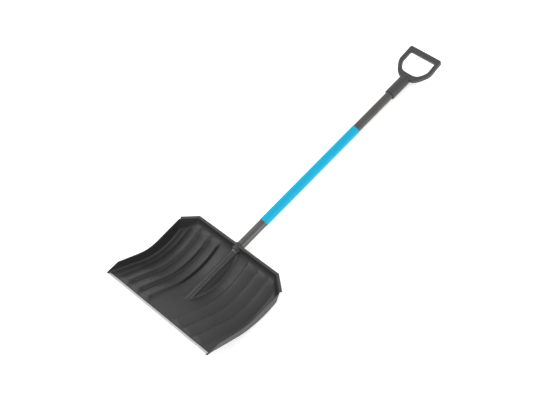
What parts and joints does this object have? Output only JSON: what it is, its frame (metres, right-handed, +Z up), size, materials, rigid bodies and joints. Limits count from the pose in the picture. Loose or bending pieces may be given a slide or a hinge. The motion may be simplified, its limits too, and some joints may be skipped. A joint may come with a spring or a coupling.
{
  "type": "snow shovel",
  "caption": "Long-handled snow shovel: wide dark moulded scoop with a metal wear edge, tubular shaft with a bright sleeve, and a closed D-grip.",
  "frame": {"origin": "on the ground under the middle of the shovel's bounding box, with the shovel lying on its back", "axes": "+Y from the scoop's edge to the grip, +X across the scoop to the right as seen from behind the grip's opposite end, +Z up out of the scoop's hollow"},
  "size_m": [0.5, 1.4222, 0.1288],
  "materials": {
    "scoop_plastic": "moulded polypropylene, fine satin grain",
    "edge_metal": "rolled, satin, lightly scratched",
    "fastener_steel": "zinc plated",
    "tube_metal": "smooth grey-brown satin lacquer",
    "sleeve_vinyl": "smooth bright blue vinyl",
    "grip_plastic": "moulded polypropylene, fine satin grain"
  },
  "bodies": {
    "root": {"scoop": "scoop_plastic", "edge_strip": "edge_metal", "edge_screws": "fastener_steel", "shaft_tube": "tube_metal", "shaft_sleeve": "sleeve_vinyl", "d_grip": "grip_plastic", "scoop_screw": "fastener_steel", "grip_screw": "fastener_steel"}
  },
  "joints": []
}
